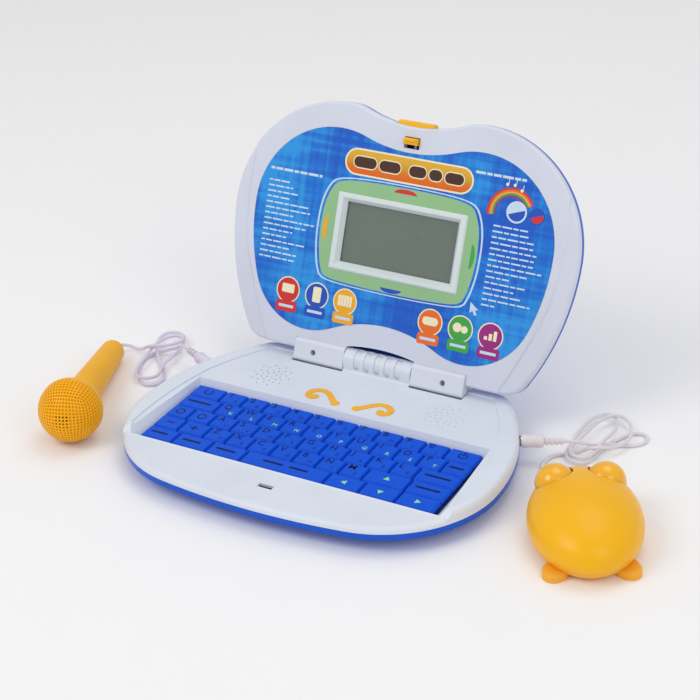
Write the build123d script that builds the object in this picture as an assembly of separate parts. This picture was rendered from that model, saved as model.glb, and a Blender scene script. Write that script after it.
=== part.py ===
"""Toy laptop computer with a plug-in microphone and a frog-shaped mouse.

Millimetres, +Z up, +X to the user's right, +Y away from the user. The origin is on the surface the
toy stands on, under the middle of the laptop's base. The lid stands open at rest.
"""

from build123d import *
from math import cos, pi, radians, sin, sqrt, tan
import os

os.makedirs("parts", exist_ok=True)

# ------------------------------------------------------------------ driving dimensions
# Heights in the base, from the table up
FOOT_H = 1.2
BAND_LOW = 9.0
SEAM = 13.0
PALM = 16.5
KEY_TOP = 17.0
DECK = 19.5
RIM = 20.4
SKIN = 1.8

# Base outline: four tangent arcs a side and a straight back edge
FRONT_Y = -86.8
FRONT_R = 410.0
SHOULDER_R = 72.0
SIDE_R = 141.0
REAR_R = 12.0
FRONT_TURN = 8.7
REAR_TURN = 41.5

# Keyboard
KEYS_Y = -15.0
KEYS_W = 200.0
KEYS_D = 69.2
KEY_PITCH = 15.72
ROW_STAGGER = 4.9
LETTERS_X = -78.3
KEY_GAP = 0.9
KEY_H = 3.2
MAT_TOP = 12.5

# Hinge and lid
HINGE_Y = 77.75
HINGE_Z = 24.75
LID_SLOPE = 68.13
LID_FRONT = 4.15
LID_T = 14.0
FRAME_T = 5.0
LID_STEP = 1.0
BARREL_R = 7.0
BARREL_HALF = 23.9
BLOCK_IN = 24.3
BLOCK_OUT = 60.8
PIN_R = 2.0
RUN_GAP = 0.05

# Screen
LCD_V = 79.7
BEZEL_W = 91.0
BEZEL_H = 49.5
WINDOW_W = 78.2
WINDOW_H = 38.6

# Sockets and plugs
JACK_X = 110.35
JACK_Y = 47.5
JACK_Z = 14.0
JACK_TURN = 25.6
PLUG_PIN_R = 1.75
PLUG_PIN_L = 11.0
PLUG_R = 4.0
PLUG_FROM = 1.2
PLUG_TO = 14.8
RELIEF_R = 2.6
RELIEF_TO = 27.1
CORD_D = 2.2

# Microphone and mouse
MIC_BALL = (-152.4, -47.6, 20.2)
MIC_END = (-186.1, 43.4, 8.1)
MIC_BALL_R = 20.2
MIC_END_R = 8.1
MOUSE_AT = (179.7, -15.0)
MOUSE_TURN = 29.5


# ------------------------------------------------------------------ helpers
def save(node, shape):
    """Write one sub-part as parts/<node>.step."""
    export_step(shape, f"parts/{node}.step")


def direction(angle):
    """Unit vector in the XY plane, angle in degrees from +X."""
    return Vector(cos(radians(angle)), sin(radians(angle)), 0)


def block(x0, x1, y0, y1, z0, z1):
    """Box between two corners, whichever way round they are given."""
    centre = Pos((x0 + x1) / 2, (y0 + y1) / 2, (z0 + z1) / 2)
    return centre * Box(abs(x1 - x0), abs(y1 - y0), abs(z1 - z0))


def post(x, y, z0, z1, radius):
    """Upright cylinder."""
    return Pos(x, y, (z0 + z1) / 2) * Cylinder(radius, z1 - z0)


def both_sides(shape):
    """A shape and its mirror image across the toy's middle plane."""
    return shape + mirror(shape, Plane.YZ)


def base_face(inset, z, turn=REAR_TURN):
    """Base outline drawn in by inset, at height z. turn is where the side arc meets the rear arc."""
    front = FRONT_R - inset
    shoulder = SHOULDER_R - inset
    side = SIDE_R - inset
    c_front = Vector(0, FRONT_Y + FRONT_R)
    c_shoulder = c_front + direction(FRONT_TURN - 90) * (FRONT_R - SHOULDER_R)
    c_side = c_shoulder + direction(0) * (SHOULDER_R - SIDE_R)
    rear_y = c_side.Y + (SIDE_R - REAR_R) * sin(radians(REAR_TURN)) + REAR_R - inset
    rear = (rear_y - c_side.Y - side * sin(radians(turn))) / (1 - sin(radians(turn)))
    c_rear = c_side + direction(turn) * (side - rear)
    half = [
        CenterArc(c_front, front, -90, FRONT_TURN),
        CenterArc(c_shoulder, shoulder, FRONT_TURN - 90, 90 - FRONT_TURN),
        CenterArc(c_side, side, 0, turn),
        CenterArc(c_rear, rear, turn, 90 - turn),
    ]
    other = [mirror(edge, Plane.YZ) for edge in half]
    back = Line((c_rear.X, rear_y), (-c_rear.X, rear_y))
    return Pos(0, 0, z) * make_face(half + other + [back])


BASE_BACK = base_face(0, 0).bounding_box().max.Y

# The lid's own plane: x across, y up the lid from the hinge axis, z out of its front face
LID = Plane(origin=(0, HINGE_Y, HINGE_Z), x_dir=(1, 0, 0),
            z_dir=(0, -sin(radians(LID_SLOPE)), cos(radians(LID_SLOPE))))


def on_lid(shape):
    """Place a shape drawn in the lid's own plane."""
    return LID.location * shape


def arc_chain(spots):
    """Arcs through the given points, each tangent to the one before; the first leaves along +X."""
    edges = []
    heading = Vector(1, 0)
    for start, end in zip(spots, spots[1:]):
        edges.append(TangentArc(start, end, tangent=heading))
        heading = edges[-1] % 1
    return edges


def slab(face, z0, z1):
    """Extrude a face drawn at z = 0 between two heights."""
    return Pos(0, 0, z0) * extrude(face, z1 - z0, dir=(0, 0, 1))


# ------------------------------------------------------------------ base top shell
def step_line_face():
    """The raised deck's outline, inside the rim."""
    side = [
        ThreePointArc((108.8, -52.0), (109.8, -12.0), (102.0, 35.5)),
        ThreePointArc((102.0, 35.5), (93.0, 55.5), (79.0, 77.5)),
    ]
    other = [mirror(edge, Plane.YZ) for edge in side]
    front = Line((108.8, -52.0), (-108.8, -52.0))
    back = Line((79.0, 77.5), (-79.0, 77.5))
    return make_face(side + other + [front, back])


def key_well(grow, z0):
    """The keyboard's pit, or with grow the outside of its wall. The back and sides lean out."""
    y0 = KEYS_Y - KEYS_D / 2 - 0.5 - grow
    y1 = KEYS_Y + KEYS_D / 2 + 0.5 + grow
    x = KEYS_W / 2 + 0.7 + grow
    low = Pos(0, 0, z0) * make_face(Polyline((-x, y0), (x, y0), (x, y1), (-x, y1), close=True))
    high = Pos(0, 0, RIM + 1) * make_face(Polyline(
        (-x - 8.8, y0), (x + 8.8, y0), (x + 2.2, y1 + 4.2), (-x - 2.2, y1 + 4.2), close=True))
    return loft([low, high], ruled=True)


def grille_spots(x, y):
    """Places of the speaker grille's holes: four rings of ten and five."""
    spots = []
    for ring, (radius, count, start) in enumerate(
            [(12.6, 10, 0), (9.6, 10, 18), (6.4, 10, 0), (3.3, 5, 18)]):
        for k in range(count):
            spots.append(Vector(x, y) + direction(start + k * 360 / count) * radius)
    return spots


def scroll_face(grow):
    """Curly scroll inlay on the left of the deck, drawn larger by grow for its pocket."""
    line = Spline((-7.0, 31.0), (-11.0, 34.0), (-15.5, 38.8), (-21.0, 41.4), (-26.8, 39.6),
                  (-28.6, 35.0), (-26.0, 31.8), (-22.6, 32.6))
    body = trace(line, 3.9 + 2 * grow)
    foot = Pos(-7.6, 31.0) * Circle(2.8 + grow)
    curl = Pos(-23.2, 33.0) * Circle(2.6 + grow)
    return body + foot + curl


def hinge_barrel():
    """Fixed middle knuckle, with five moulded slots round its front."""
    axis = Pos(0, HINGE_Y, HINGE_Z) * Rot(0, 90, 0)
    barrel = axis * Cylinder(BARREL_R, 2 * BARREL_HALF)
    seat = block(-BARREL_HALF, BARREL_HALF, HINGE_Y - BARREL_R, BASE_BACK - 1, DECK - 2, HINGE_Z)
    seat -= block(-50, 50, HINGE_Y, 100, RIM, 40) - axis * Cylinder(BARREL_R, 100)
    toe = block(-BARREL_HALF, BARREL_HALF, HINGE_Y - BARREL_R - 1.2, HINGE_Y, DECK - 1, DECK + 1)
    toe = chamfer(toe.edges().filter_by(Axis.X).group_by(Axis.Z)[-1].sort_by(Axis.Y)[0], 1.1)
    knuckle = barrel + seat + toe
    ring = axis * (Cylinder(BARREL_R + 1, 80) - Cylinder(BARREL_R - 0.8, 80))
    for k in range(-2, 3):
        slot = Pos(k * 7.3, HINGE_Y - 5.5, HINGE_Z + 3.5) * Rot(90, 0, 0) * extrude(
            Rot(0, 0, 90) * SlotOverall(15.0, 4.2), 7.5, both=True)
        knuckle -= ring & slot
    bore = axis * Cylinder(PIN_R + RUN_GAP, 26)
    knuckle -= Pos(-BARREL_HALF, 0, 0) * bore
    knuckle -= Pos(BARREL_HALF, 0, 0) * bore
    return knuckle


def jack_place(side):
    """Frame of a socket: its axis points out of the base, on the right for side 1."""
    out = Vector(side * cos(radians(JACK_TURN)), sin(radians(JACK_TURN)), 0)
    return Plane(origin=(side * JACK_X, JACK_Y, JACK_Z), x_dir=(0, 0, 1), z_dir=out)


def jack_room(side):
    """Hole through the side wall for a socket's collar, and the pocket for its body."""
    hole = Pos(0, 0, -1) * Cylinder(3.4, 12)
    pocket = Pos(0, 0, -8) * Box(7.4, 9.4, 13.4)
    return jack_place(side).location * (hole + pocket)


SCREWS = [(-70, -66), (70, -66), (-92, 36), (92, 36), (-44, 74), (44, 74)]


def base_top_shell():
    palm = extrude(base_face(0, SEAM), PALM - SEAM)
    palm = fillet(palm.edges().group_by(Axis.Z)[-1], 3.2)
    rim = extrude(base_face(0, SEAM), RIM - SEAM)
    rim = fillet(rim.edges().group_by(Axis.Z)[-1], 4.6)
    ahead = make_face(Polyline((-120, 0), (-51, 0), (-51, PALM), (-43, RIM + 2), (-120, RIM + 2),
                               close=True))
    rim -= extrude(Plane.YZ * ahead, 150, both=True)
    shell = palm + rim
    shell -= slab(step_line_face(), DECK, RIM + 5) - block(-150, 150, -120, -43, 0, 50)

    hollow = extrude(base_face(2.0, SEAM - 1), PALM - SKIN - SEAM + 1)
    hollow += extrude(base_face(6.0, SEAM - 1), DECK - SKIN - SEAM + 1) - block(
        -150, 150, -120, -38, 0, 50)
    well_wall = key_well(2.4, SEAM)
    tray = block(BARREL_HALF - 1.5, BLOCK_OUT + 2.0, HINGE_Y - 10.5, 100, SEAM, DECK)
    hollow -= well_wall + both_sides(tray)
    hollow -= block(-BARREL_HALF, BARREL_HALF, HINGE_Y - BARREL_R, 100, SEAM, 30)
    for x, y in SCREWS:
        hollow -= post(x, y, SEAM, 30, 3.0)
    shell -= hollow
    shell += hinge_barrel()
    shell -= key_well(0, SEAM - 1)

    notch = block(BARREL_HALF, BLOCK_OUT + 0.5, HINGE_Y - 9.5, 100, SEAM + 1.7, 50)
    shell -= both_sides(notch)
    for spot in grille_spots(-62.0, 45.0):
        shell -= post(spot.X, spot.Y, DECK - 3, DECK + 1, 0.6)
    for spot in grille_spots(62.0, 45.0):
        shell -= post(spot.X, spot.Y, DECK - 0.4, DECK + 1, 0.6)
    shell -= both_sides(slab(scroll_face(0.1), DECK - 0.8, DECK + 1))
    shell -= block(-4.9, 4.9, -67.4, -63.8, SEAM - 1, PALM + 1)
    for side in (1, -1):
        shell -= jack_room(side)
    for x, y in SCREWS:
        shell -= post(x, y, SEAM - 1, SEAM + 1.2, 1.25)
    return shell


# ------------------------------------------------------------------ base bottom shell
BATTERY_Y = 45.8
BATTERY_R = 7.1
BATTERY_L = 50.2
DOOR_HALF_X = 31.0
DOOR_HALF_Y = 22.5
UNDER_INSET = 16.0
FEET = [(0, 0), (-78, -48), (78, -48), (-72, 60), (72, 60)]
TAB_HALF = 5.0
TAB_Y = BATTERY_Y - DOOR_HALF_Y - 3.2
BOARD_LOW = 5.0
BOARD_POSTS = [(-34, -38), (34, -38), (-34, 6), (34, 6)]


def base_bottom_shell():
    outer = extrude(base_face(0, BAND_LOW, 35), SEAM - BAND_LOW)
    outer += loft([base_face(UNDER_INSET, FOOT_H, 35), base_face(0, BAND_LOW, 35)])
    inner = extrude(base_face(2.2, BAND_LOW + 0.8, 35), 10)
    inner += loft([base_face(UNDER_INSET + 2, FOOT_H + SKIN, 35),
                   base_face(2.2, BAND_LOW + 0.8, 35)])
    for x, y in SCREWS:
        inner -= post(x, y, 0, SEAM, 3.2)
    box_wall = block(-DOOR_HALF_X - 1, DOOR_HALF_X + 1, BATTERY_Y - DOOR_HALF_Y - 0.6,
                     BATTERY_Y + DOOR_HALF_Y + 0.6, 0, SEAM - 2.4)
    box_room = block(-DOOR_HALF_X + 0.6, DOOR_HALF_X - 0.6, BATTERY_Y - 21.8, BATTERY_Y + 21.8,
                     0, SEAM)
    inner -= box_wall - box_room
    shell = outer - inner
    shell -= block(-DOOR_HALF_X, DOOR_HALF_X, BATTERY_Y - DOOR_HALF_Y, BATTERY_Y + DOOR_HALF_Y,
                   0, FOOT_H + SKIN)
    shell -= box_room
    shell -= block(-TAB_HALF - 0.3, TAB_HALF + 0.3, TAB_Y - 3.8, TAB_Y + 4, 0, FOOT_H + SKIN)
    shell += post(0, TAB_Y, FOOT_H + SKIN, FOOT_H + SKIN + 5, 3.2)
    shell -= post(0, TAB_Y, 0, FOOT_H + SKIN + 4, 1.1)
    for x, y in BOARD_POSTS:
        shell += post(x, y, FOOT_H + SKIN - 0.5, BOARD_LOW, 2.4)
    for x, y in SCREWS:
        shell -= post(x, y, 0, FOOT_H + 3.0, 2.8)
        shell -= post(x, y, 0, SEAM + 1, 1.6)
    for side in (1, -1):
        shell -= jack_room(side)
    return shell


# ------------------------------------------------------------------ inside the base
def battery_door():
    plate = block(-DOOR_HALF_X + 0.3, DOOR_HALF_X - 0.3, BATTERY_Y - DOOR_HALF_Y + 0.3,
                  BATTERY_Y + DOOR_HALF_Y - 0.3, FOOT_H, FOOT_H + SKIN)
    plate += block(-TAB_HALF, TAB_HALF, TAB_Y - 3.5, TAB_Y + 4, FOOT_H, FOOT_H + SKIN)
    plate -= post(0, TAB_Y, 0, 5, 1.4)
    plate -= post(0, TAB_Y, 0, FOOT_H + 1.0, 2.7)
    for k in range(5):
        y = BATTERY_Y + 10 + k * 2
        plate -= block(-9, 9, y, y + 0.9, FOOT_H - 1, FOOT_H + 0.5)
    return plate


def screw(x, y, head_low, head_r, head_h, shank_r, shank_top):
    """Pan-head screw driven upwards, with a cross recess in its head."""
    body = post(x, y, head_low, head_low + head_h, head_r)
    body += post(x, y, head_low + head_h, shank_top, shank_r)
    body -= Pos(x, y, head_low) * Box(head_r * 1.2, 0.6, 1.4)
    body -= Pos(x, y, head_low) * Box(0.6, head_r * 1.2, 1.4)
    return body


def batteries():
    cells = []
    for k in (-1, 0, 1):
        at_cell = Pos(0, BATTERY_Y + k * 14.25, FOOT_H + SKIN + 0.2 + BATTERY_R) * Rot(0, 90, 0)
        cell = at_cell * Cylinder(BATTERY_R - 0.02, BATTERY_L - 1.5)
        end = 1 if k % 2 else -1
        cell += at_cell * Pos(0, 0, end * (BATTERY_L / 2 - 0.4)) * Cylinder(2.7, 2.2)
        cells.append(cell)
    return Compound(children=cells)


def battery_contacts():
    z0 = FOOT_H + SKIN + 3
    plates = []
    for side in (-1, 1):
        for k in (-1, 0, 1):
            y = BATTERY_Y + k * 14.25
            plate = block(side * 29.6, side * 30.2, y - 5, y + 5, z0, z0 + 9)
            plate += Pos(side * 28.2, y, z0 + 4.3) * Rot(0, 90, 0) * Cylinder(2.4, 3.0)
            plates.append(plate)
    return Compound(children=plates)


def speaker():
    outline = make_face(Polyline(
        (0, 6), (8.5, 6), (8.5, 10), (9.5, 10.6), (15.5, 15.4), (17, 15.4), (17, 17.5), (14, 17.5),
        (9, 14), (4, 13), (0, 13.6), close=True))
    return Pos(-62.0, 45.0, 0) * revolve(Plane.XZ * outline, Axis.Z)


def main_board():
    board = block(-38, 38, -42, 10, BOARD_LOW, BOARD_LOW + 1.6)
    top = BOARD_LOW + 1.6
    for x, y, w, d, h in [(-8, -18, 16, 16, 1.4), (20, -24, 9, 6, 1.2), (-28, -4, 8, 5, 2.0),
                          (24, -2, 12, 4, 2.4)]:
        board += block(x - w / 2, x + w / 2, y - d / 2, y + d / 2, top, top + h)
    for x, y in [(-26, -26), (8, -34)]:
        board += post(x, y, top, top + 2.8, 2.5)
    for x, y in BOARD_POSTS:
        board -= post(x, y, BOARD_LOW - 1, top + 1, 1.2)
    return board


def jack(side):
    """Socket for a small round plug: a box with a collar that fills the hole in the side wall."""
    body = Pos(0, 0, -8) * Box(6.8, 9.0, 12.8)
    collar = Pos(0, 0, -0.6) * Cylinder(3.3, 2.4)
    bore = Pos(0, 0, -6) * Cylinder(PLUG_PIN_R + RUN_GAP, 14)
    return jack_place(side).location * (body + collar - bore)


# ------------------------------------------------------------------ keyboard
def keycap(x0, x1, row):
    """One key with leaning sides and softened top edges. Row 0 is the back row."""
    depth = KEYS_D / 5
    y1 = KEYS_Y + KEYS_D / 2 - row * depth
    low = KEY_TOP - KEY_H
    foot = Pos((x0 + x1) / 2, y1 - depth / 2, low) * Rectangle(x1 - x0 - KEY_GAP, depth - KEY_GAP)
    cap = extrude(foot, 1.6)
    neck = Pos((x0 + x1) / 2, y1 - depth / 2, low + 1.6) * Rectangle(
        x1 - x0 - KEY_GAP, depth - KEY_GAP)
    crown = Pos((x0 + x1) / 2, y1 - depth / 2 + 0.25, KEY_TOP) * Rectangle(
        x1 - x0 - KEY_GAP - 1.6, depth - KEY_GAP - 1.9)
    cap += loft([neck, crown])
    return fillet(cap.faces().sort_by(Axis.Z)[-1].edges(), 0.35)


def letters_from(row):
    """Where a row's letter keys start: each row is shifted a little to the right."""
    return LETTERS_X + row * ROW_STAGGER


def letter_row(row, count):
    start = letters_from(row)
    return Compound(children=[
        keycap(start + k * KEY_PITCH, start + (k + 1) * KEY_PITCH, row) for k in range(count)])


def key_group(spans):
    return Compound(children=[keycap(x0, x1, row) for x0, x1, row in spans])


LEFT = -KEYS_W / 2
RIGHT = KEYS_W / 2
END_0 = letters_from(0) + 10 * KEY_PITCH
END_1 = letters_from(1) + 10 * KEY_PITCH
END_2 = letters_from(2) + 9 * KEY_PITCH
END_3 = letters_from(3) + 7 * KEY_PITCH

KEYS = {
    "reset_key": [(LEFT, letters_from(0), 0)],
    "power_key": [(END_0, RIGHT, 0)],
    "enter_key": [(-29.0, 28.0, 4)],
    "edit_keys": [(LEFT, letters_from(1), 1), (END_1, RIGHT, 1)],
    "answer_keys": [(END_2, RIGHT, 2), (74.5, RIGHT, 3)],
    "mode_keys": [(LEFT, -84.5, 2), (-84.5, letters_from(2), 2), (LEFT, -77.5, 4),
                  (-77.5, -53.2, 4), (-53.2, -29.0, 4)],
    "volume_keys": [(LEFT, -82.0, 3), (-82.0, letters_from(3), 3)],
    "arrow_keys": [(END_3, 74.5, 3), (28.0, 51.5, 4), (51.5, 75.0, 4), (75.0, RIGHT, 4)],
}
LETTER_ROWS = {"letter_keys_1": (0, 10), "letter_keys_2": (1, 10), "letter_keys_3": (2, 9),
               "letter_keys_4": (3, 7)}


# ------------------------------------------------------------------ lid
LID_BACK = LID_FRONT - LID_T
FRAME_BACK = LID_FRONT - FRAME_T
LID_SCREWS = [(-99, 95), (99, 95), (-62, 148), (62, 148), (-84, 22), (84, 22)]
LATCH_V = 143.25


def lid_half_outline():
    """Right half of the lid's apple-shaped outline, from the dip at the top to the hinge edge."""
    lobe = arc_chain([(0, 152.5), (35.8, 159.1), (44.1, 160.8), (121.0, 85.6), (99.4, 7.7),
                      (86.0, 0)])
    return lobe + [Line((86.0, 0), (0, 0))]


def lid_face():
    half = lid_half_outline()
    return make_face(half + [mirror(edge, Plane.YZ) for edge in half])


def step_face():
    """The part of the lid's front that stands proud of its side bands."""
    half = [
        Line((0, 200), (109.5, 200)),
        Line((109.5, 200), (109.5, 128)),
        ThreePointArc((109.5, 128), (111.5, 97), (106.5, 56)),
        ThreePointArc((106.5, 56), (97.5, 31.5), (83, 0)),
        Line((83, 0), (0, 0)),
    ]
    return make_face(half + [mirror(edge, Plane.YZ) for edge in half])


def art_face():
    """Printed panel's outline, which echoes the lid's and rises over the hinge."""
    half = arc_chain([(0, 136.0), (31.9, 141.3), (104.9, 90.8), (95.9, 39.7), (37.0, 16.8),
                      (0, 25.3)])
    return make_face(half + [mirror(edge, Plane.YZ) for edge in half])


def screen_slab(width, height, z0, z1, radius=1.0):
    """Rounded rectangle centred on the screen, between two depths of the lid."""
    return slab(Pos(0, LCD_V) * RectangleRounded(width, height, radius), LID_FRONT + z0,
                LID_FRONT + z1)


def hinge_opening():
    """Room in the lid's lower edge for the blocks, and an arch over the fixed knuckle."""
    gap = both_sides(block(BARREL_HALF, BLOCK_OUT + 0.2, -5, 7.05, FRAME_BACK - 1, LID_FRONT + 5))
    arch = make_face([ThreePointArc((-24.2, 7.9), (0, 10.2), (24.2, 7.9)),
                      Polyline((24.2, 7.9), (24.2, -5), (-24.2, -5), (-24.2, 7.9))])
    return gap + slab(arch, FRAME_BACK - 1, LID_FRONT + 5)


def lid_front_frame():
    body = slab(lid_face(), FRAME_BACK, LID_FRONT - LID_STEP)
    body = fillet(body.edges().group_by(Axis.Z)[-1], 2.4)
    raised = slab(lid_face() & step_face(), FRAME_BACK, LID_FRONT)
    raised = fillet(raised.edges().group_by(Axis.Z)[-1], 1.6)
    frame = body + raised
    pocket = slab(offset(lid_face(), -3.0), FRAME_BACK - 1, LID_FRONT - 2.4)
    pocket -= block(-49, 49, LCD_V - 28, LCD_V + 28, -20, 20)
    pocket -= both_sides(block(22, 64, -5, 11, -20, 20)) + block(-30, 30, -5, 14, -20, 20)
    pocket -= block(-16, 16, LATCH_V - 9, 170, -20, 20)
    for x, v in LID_SCREWS:
        pocket -= post(x, v, -20, 20, 3.0)
    frame -= pocket
    frame -= slab(art_face(), LID_FRONT - 0.3, LID_FRONT + 1)
    frame -= screen_slab(88.4, 46.9, -10, 5)
    frame -= hinge_opening()
    frame -= block(-5.4, 5.4, LATCH_V - 4.6, LATCH_V + 2.7, FRAME_BACK - 1, LID_FRONT + 1)
    frame -= block(-13.1, 13.1, LATCH_V + 4.6, 170, FRAME_BACK - 1, LID_FRONT - 0.8)
    for x, v in LID_SCREWS:
        frame -= post(x, v, FRAME_BACK - 1, LID_FRONT - 2, 1.2)
    return on_lid(frame)


def art_panel():
    panel = slab(offset(art_face(), -0.15), LID_FRONT - 0.3, LID_FRONT)
    return on_lid(panel - screen_slab(BEZEL_W + 0.2, BEZEL_H + 0.2, -2, 2))


def lid_back_shell():
    shell = slab(lid_face(), LID_BACK, FRAME_BACK)
    shell = fillet(shell.edges().group_by(Axis.Z)[0], 6.5)
    room = slab(offset(lid_face(), -2.0), LID_BACK + SKIN, FRAME_BACK + 1)
    room = fillet(room.edges().group_by(Axis.Z)[0], 4.8)
    for x, v in LID_SCREWS:
        room -= post(x, v, -20, 20, 3.4)
    shell -= room
    shell -= block(-BLOCK_OUT - 0.3, BLOCK_OUT + 0.3, -5, 3, -BARREL_R - 0.7, 5)
    shell -= Rot(0, 90, 0) * Cylinder(BARREL_R + 0.5, 2 * BARREL_HALF + 0.8)
    shell -= block(-13.1, 13.1, LATCH_V + 4.6, 170, LID_BACK + 4.4, FRAME_BACK + 1)
    groove = offset(lid_face(), -17.5) - offset(lid_face(), -19.0)
    shell -= slab(groove, LID_BACK - 1, LID_BACK + 0.6)
    for x, v in LID_SCREWS:
        shell -= post(x, v, LID_BACK - 1, LID_BACK + 3.5, 2.8)
        shell -= post(x, v, LID_BACK - 1, FRAME_BACK + 1, 1.6)
    return on_lid(shell)


def lid_screws():
    screws = [screw(x, v, LID_BACK + 1.9, 2.5, 1.6, 1.15, LID_FRONT - 2.2) for x, v in LID_SCREWS]
    return on_lid(Compound(children=screws))


def screen_bezel():
    rim = screen_slab(BEZEL_W, BEZEL_H, -0.3, 1.2)
    rim = chamfer(rim.edges().group_by(Axis.Z)[-1], 1.0)
    rim += screen_slab(88.0, 46.5, -3.4, 0)
    mouth = loft([Pos(0, LCD_V, LID_FRONT - 2.2) * Rectangle(WINDOW_W, WINDOW_H),
                  Pos(0, LCD_V, LID_FRONT + 1.3) * Rectangle(WINDOW_W + 5, WINDOW_H + 5)])
    rim -= mouth
    rim -= screen_slab(83.0, 42.6, -5, -2.2, 0.5)
    return on_lid(rim)


def lcd_stack():
    """Clear window, display glass, its rubber connectors and its board, front to back."""
    return {
        "lcd_window": on_lid(screen_slab(82.6, 42.2, -3.2, -2.2, 0.5)),
        "lcd_glass": on_lid(screen_slab(84.0, 43.0, -5.7, -3.5, 0.5)),
        "lcd_connectors": on_lid(Compound(children=[
            block(-36, 36, LCD_V + s * 19.5 - 1, LCD_V + s * 19.5 + 1, LID_FRONT - 6.9,
                  LID_FRONT - 5.7) for s in (-1, 1)])),
        "lcd_board": on_lid(screen_slab(96.0, 54.0, -8.5, -6.9, 1.0)),
    }


def hinge_block(side):
    """Block on the lid that carries one hinge pin."""
    body = block(BLOCK_IN, BLOCK_OUT, -8.15, 7.0, -6.0, LID_FRONT + 2.08)
    body = fillet(body.edges().filter_by(Axis.X), 2.5)
    body = fillet(body.faces().sort_by(Axis.X)[-1].edges(), 1.0)
    body -= Pos(33, 0, 0) * Rot(0, 90, 0) * Cylinder(PIN_R, 18)
    body -= post(46.5, -1.0, 1.5, 10, 1.9)
    body -= post(46.5, -1.0, -8, 5, 1.2)
    return on_lid(body if side > 0 else mirror(body, Plane.YZ))


def hinge_pin(side):
    pin = Pos(26.5, 0, 0) * Rot(0, 90, 0) * Cylinder(PIN_R, 31)
    return on_lid(pin if side > 0 else mirror(pin, Plane.YZ))


def hinge_block_screws():
    screws = []
    for side in (-1, 1):
        body = post(side * 46.5, -1.0, 1.5, 3.0, 1.8) + post(side * 46.5, -1.0, -7.4, 1.5, 1.15)
        body -= Pos(side * 46.5, -1.0, 3.0) * (Box(2.4, 0.6, 1.4) + Box(0.6, 2.4, 1.4))
        screws.append(body)
    return on_lid(Compound(children=screws))


def latch():
    """Thumb tab on the lid's top edge and the hook it moves, in one piece."""
    stem = block(-7.5, 7.5, LATCH_V - 2.4, 152, FRAME_BACK - 2.2, FRAME_BACK - 0.3)
    tab = block(-12.7, 12.7, LATCH_V + 6.8, 155.6, LID_FRONT - 8.2, LID_FRONT - 1.0)
    tab = fillet(tab.edges().filter_by(Axis.Z), 2.2)
    tab = fillet(tab.edges().group_by(Axis.Z)[-1], 0.8)
    hook = block(-4.6, 4.6, LATCH_V - 2.1, LATCH_V + 2.1, FRAME_BACK - 1, LID_FRONT + 3.3)
    hook -= block(-6, 6, LATCH_V - 3, LATCH_V - 0.6, LID_FRONT - 0.2, LID_FRONT + 1.4)
    hook = fillet(hook.edges().group_by(Axis.Z)[-1].filter_by(Axis.X), 0.8)
    hook += block(-4.0, 4.0, LATCH_V + 0.2, LATCH_V + 1.7, LID_FRONT + 2, LID_FRONT + 4.9)
    return on_lid(stem + tab + hook)


def latch_spring():
    """Small coil under the latch's stem, shown as a tube of its outer size."""
    return on_lid(Pos(0, LATCH_V - 5.4, FRAME_BACK - 1.9) * Rot(90, 0, 0)
                  * (Cylinder(1.6, 6) - Cylinder(1.0, 6)))


# ------------------------------------------------------------------ microphone
MIC_AXIS = Plane(origin=MIC_BALL, x_dir=(0.9, 0.33, 0.0),
                 z_dir=Vector(*MIC_END) - Vector(*MIC_BALL))
MIC_REACH = (Vector(*MIC_END) - Vector(*MIC_BALL)).length


def mic_head():
    """Grille: the front of a hollow ball, with sixteen sound holes at its nose."""
    ball = Sphere(MIC_BALL_R) - Sphere(MIC_BALL_R - 1.6)
    ball -= Pos(0, 0, 30 + 2.0) * Box(60, 60, 60)
    for i in range(4):
        for j in range(4):
            ball -= Pos((i - 1.5) * 2.2, (j - 1.5) * 2.2, -MIC_BALL_R) * Box(1.1, 1.1, 6)
    return MIC_AXIS.location * ball


def mic_handle():
    """Cup behind the grille, neck and tapered grip with a round end, hollow."""
    def profile(grow):
        ball_r = MIC_BALL_R - grow
        z0 = 2.1
        edge = sqrt(ball_r ** 2 - z0 ** 2)
        neck_z = 17.6 - grow * 0.4
        neck_r = 10.9 - grow
        end_r = MIC_END_R - grow
        cup = ThreePointArc((edge, z0), (ball_r * cos(radians(30)), ball_r * sin(radians(30))),
                            (neck_r + 1.2, sqrt(ball_r ** 2 - (neck_r + 1.2) ** 2)))
        start = cup @ 1
        blend = Spline((start.X, start.Y), (neck_r, neck_z + 3), (neck_r - 0.2, neck_z + 8))
        grip = Line((neck_r - 0.2, neck_z + 8), (end_r, MIC_REACH))
        cap = ThreePointArc((end_r, MIC_REACH),
                            (end_r * cos(radians(45)), MIC_REACH + end_r * sin(radians(45))),
                            (0, MIC_REACH + end_r))
        return make_face([cup, blend, grip, cap, Line((0, MIC_REACH + end_r), (0, z0)),
                          Line((0, z0), (edge, z0))])
    outer = revolve(Plane.XZ * profile(0), Axis.Z)
    inner = revolve(Plane.XZ * profile(1.8), Axis.Z)
    return MIC_AXIS.location * (outer - inner - Pos(0, 0, MIC_REACH + 6) * Cylinder(0.9, 8))


def mic_capsule():
    return MIC_AXIS.location * Pos(0, 0, -13.0) * Cylinder(4.8, 6)


# ------------------------------------------------------------------ mouse
MOUSE_BELT = 9.0
MOUSE_MID = (0.0, 2.2, 12.7)
MOUSE_SEMI = (33.0, 47.5, 21.4)
EYE_R = 11.8
EYE_X = 14.6
EYE_Y = 27.0
EYE_Z = 22.6
EYE_GAP = 1.2
TAIL_Z = 12.0


def on_mouse(shape):
    return Pos(*MOUSE_AT, 0) * Rot(0, 0, MOUSE_TURN) * shape


def mouse_ball(shrink):
    """The rounded body: an egg-like lump, longer than it is wide, and wider than it is high."""
    size = tuple(semi - shrink for semi in MOUSE_SEMI)
    return Pos(*MOUSE_MID) * scale(Sphere(1), by=size)


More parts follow.
